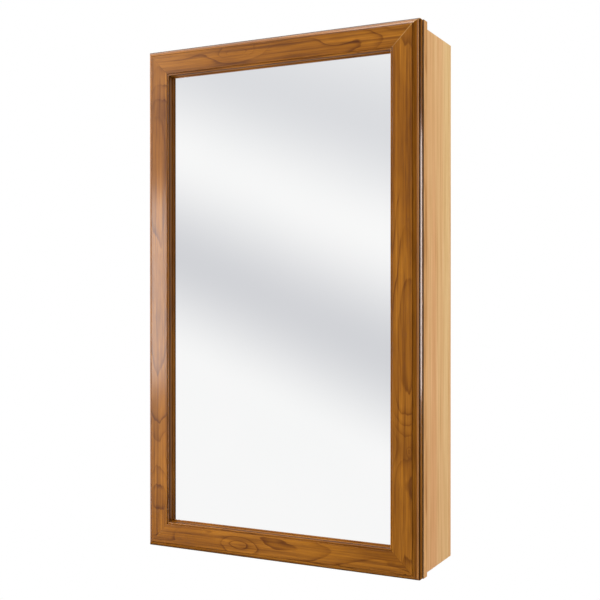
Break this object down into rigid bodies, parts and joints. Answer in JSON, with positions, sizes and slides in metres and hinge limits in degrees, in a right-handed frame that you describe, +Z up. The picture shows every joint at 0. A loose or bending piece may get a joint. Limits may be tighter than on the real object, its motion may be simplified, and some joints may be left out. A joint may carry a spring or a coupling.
{
  "type": "medicine cabinet",
  "caption": "Shallow wall-hung wooden cabinet with loose shelves and a hinged mirror door in a moulded, mitred frame.",
  "frame": {"origin": "on the wall plane at the cabinet's back, in the middle of the four wall screw holes", "axes": "+X to the right as seen from the room, +Y towards the wall, +Z up"},
  "size_m": [0.3897, 0.1207, 0.6604],
  "materials": {
    "case_board": "satin straight-grained laminate, light tan",
    "shelf_band": "satin edge strip, light tan",
    "hardboard": "matte pressed board, brown",
    "rail_wood": "raw sawn softwood",
    "dowel_wood": "raw turned hardwood",
    "face_frame_wood": "satin stained hardwood, tan",
    "door_wood": "glossy honey-brown stained hardwood with cathedral grain",
    "mirror": "polished silvered glass",
    "steel_nails": "bright steel",
    "hinge_plate": "nickel-plated steel",
    "screw_steel": "zinc-plated steel",
    "pin_plastic": "tan moulded plastic",
    "catch_plastic": "brown moulded plastic",
    "magnet": "dark sintered ferrite",
    "catch_steel": "zinc-plated steel",
    "bumper": "clear soft vinyl"
  },
  "bodies": {
    "case": {"side_panel_right": "case_board", "side_panel_left": "case_board", "top_panel": "case_board", "bottom_panel": "case_board", "back_panel": "hardboard", "hanging_rail_upper": "rail_wood", "hanging_rail_lower": "rail_wood", "case_dowels": "dowel_wood", "face_frame_stile_right": "face_frame_wood", "face_frame_stile_left": "face_frame_wood", "face_frame_rail_top": "face_frame_wood", "face_frame_rail_bottom": "face_frame_wood", "face_frame_dowels": "dowel_wood", "face_frame_brads": "steel_nails", "shelf_pins_lower": "pin_plastic", "shelf_pins_upper": "pin_plastic", "hinge_frame_leaf_lower": "hinge_plate", "hinge_frame_leaf_upper": "hinge_plate", "hinge_pins": "hinge_plate", "hinge_frame_screws": "screw_steel", "catch_housing": "catch_plastic", "catch_magnet": "magnet", "catch_pole_plates": "catch_steel", "catch_screws": "screw_steel"},
    "door": {"door_stile_left": "door_wood", "door_stile_right": "door_wood", "door_rail_top": "door_wood", "door_rail_bottom": "door_wood", "door_mitre_nails": "steel_nails", "mirror_glass": "mirror", "mirror_backing_board": "hardboard", "glazing_points": "steel_nails", "hinge_door_leaf_lower": "hinge_plate", "hinge_door_leaf_upper": "hinge_plate", "hinge_door_screws": "screw_steel", "catch_strike_plate": "catch_steel", "catch_strike_screw": "screw_steel", "door_bumper": "bumper"},
    "lower_shelf": {"shelf_lower": "case_board", "shelf_lower_edge_band": "shelf_band"},
    "upper_shelf": {"shelf_upper": "case_board", "shelf_upper_edge_band": "shelf_band"}
  },
  "joints": [
    {"name": "door_hinge", "type": "hinge", "parent": "case", "child": "door", "pos_m": [-0.1951, -0.10385, 0.0022], "axis": [0, 0, -1], "range_deg": [0, 180]},
    {"name": "lower_shelf_lift", "type": "slide", "parent": "case", "child": "lower_shelf", "axis": [0, 0, 1], "range_m": [0, 0.032]},
    {"name": "upper_shelf_lift", "type": "slide", "parent": "case", "child": "upper_shelf", "axis": [0, 0, 1], "range_m": [0, 0.032]}
  ]
}
